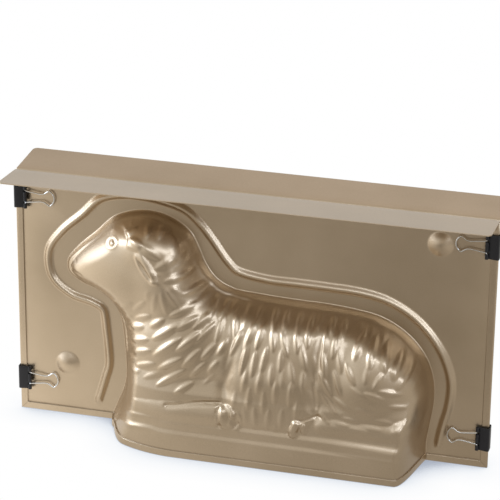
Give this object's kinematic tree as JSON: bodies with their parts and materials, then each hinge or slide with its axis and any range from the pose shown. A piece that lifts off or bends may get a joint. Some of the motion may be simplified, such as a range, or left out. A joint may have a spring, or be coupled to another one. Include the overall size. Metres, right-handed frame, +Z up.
{
  "type": "lamb cake mould",
  "caption": "Upright two-part sheet metal cake mould pressed as a reclining lamb on a plinth, its halves clamped along a parting plane by foldback clips with hinged wire handles.",
  "frame": {"origin": "centre of the open rim that the mould stands on, on the parting plane between the two halves and midway between the plates' ends", "axes": "+Z up, +X along the plates from the lamb's nose towards its rump, -Y towards the front half, with the parting plane at Y = 0"},
  "size_m": [0.2916, 0.0812, 0.1585],
  "materials": {
    "coated_sheet": "satin champagne non-stick coating",
    "black_spring": "semi-gloss black enamel",
    "nickel_wire": "bright nickel plating"
  },
  "bodies": {
    "mould": {"front_mould_half": "coated_sheet", "rear_mould_half": "coated_sheet"},
    "lower_left_clip": {"lower_left_clip_spring": "black_spring"},
    "lower_left_clip_front_handle": {"lower_left_clip_front_handle": "nickel_wire"},
    "lower_left_clip_rear_handle": {"lower_left_clip_rear_handle": "nickel_wire"},
    "lower_right_clip": {"lower_right_clip_spring": "black_spring"},
    "lower_right_clip_front_handle": {"lower_right_clip_front_handle": "nickel_wire"},
    "lower_right_clip_rear_handle": {"lower_right_clip_rear_handle": "nickel_wire"},
    "upper_left_clip": {"upper_left_clip_spring": "black_spring"},
    "upper_left_clip_front_handle": {"upper_left_clip_front_handle": "nickel_wire"},
    "upper_left_clip_rear_handle": {"upper_left_clip_rear_handle": "nickel_wire"},
    "upper_right_clip": {"upper_right_clip_spring": "black_spring"},
    "upper_right_clip_front_handle": {"upper_right_clip_front_handle": "nickel_wire"},
    "upper_right_clip_rear_handle": {"upper_right_clip_rear_handle": "nickel_wire"}
  },
  "joints": [
    {"name": "lower_left_clip_pull", "type": "slide", "parent": "mould", "child": "lower_left_clip", "axis": [-1, 0, 0], "range_m": [0, 0.035]},
    {"name": "lower_right_clip_pull", "type": "slide", "parent": "mould", "child": "lower_right_clip", "axis": [1, 0, 0], "range_m": [0, 0.035]},
    {"name": "upper_left_clip_pull", "type": "slide", "parent": "mould", "child": "upper_left_clip", "axis": [-1, 0, 0], "range_m": [0, 0.035]},
    {"name": "upper_right_clip_pull", "type": "slide", "parent": "mould", "child": "upper_right_clip", "axis": [1, 0, 0], "range_m": [0, 0.035]},
    {"name": "lower_left_front_handle_fold", "type": "hinge", "parent": "lower_left_clip", "child": "lower_left_clip_front_handle", "pos_m": [-0.1386, -0.00275, 0.0213], "axis": [0, 0, -1], "range_deg": [0, 170]},
    {"name": "lower_left_rear_handle_fold", "type": "hinge", "parent": "lower_left_clip", "child": "lower_left_clip_rear_handle", "pos_m": [-0.1386, 0.00275, 0.0213], "axis": [0, 0, 1], "range_deg": [0, 170]},
    {"name": "lower_right_front_handle_fold", "type": "hinge", "parent": "lower_right_clip", "child": "lower_right_clip_front_handle", "pos_m": [0.1386, -0.00275, 0.0191], "axis": [0, 0, 1], "range_deg": [0, 170]},
    {"name": "lower_right_rear_handle_fold", "type": "hinge", "parent": "lower_right_clip", "child": "lower_right_clip_rear_handle", "pos_m": [0.1386, 0.00275, 0.0191], "axis": [0, 0, -1], "range_deg": [0, 170]},
    {"name": "upper_left_front_handle_fold", "type": "hinge", "parent": "upper_left_clip", "child": "upper_left_clip_front_handle", "pos_m": [-0.1386, -0.00275, 0.14], "axis": [0, 0, -1], "range_deg": [0, 170]},
    {"name": "upper_left_rear_handle_fold", "type": "hinge", "parent": "upper_left_clip", "child": "upper_left_clip_rear_handle", "pos_m": [-0.1386, 0.00275, 0.14], "axis": [0, 0, 1], "range_deg": [0, 170]},
    {"name": "upper_right_front_handle_fold", "type": "hinge", "parent": "upper_right_clip", "child": "upper_right_clip_front_handle", "pos_m": [0.1386, -0.00275, 0.14], "axis": [0, 0, 1], "range_deg": [0, 170]},
    {"name": "upper_right_rear_handle_fold", "type": "hinge", "parent": "upper_right_clip", "child": "upper_right_clip_rear_handle", "pos_m": [0.1386, 0.00275, 0.14], "axis": [0, 0, -1], "range_deg": [0, 170]}
  ]
}
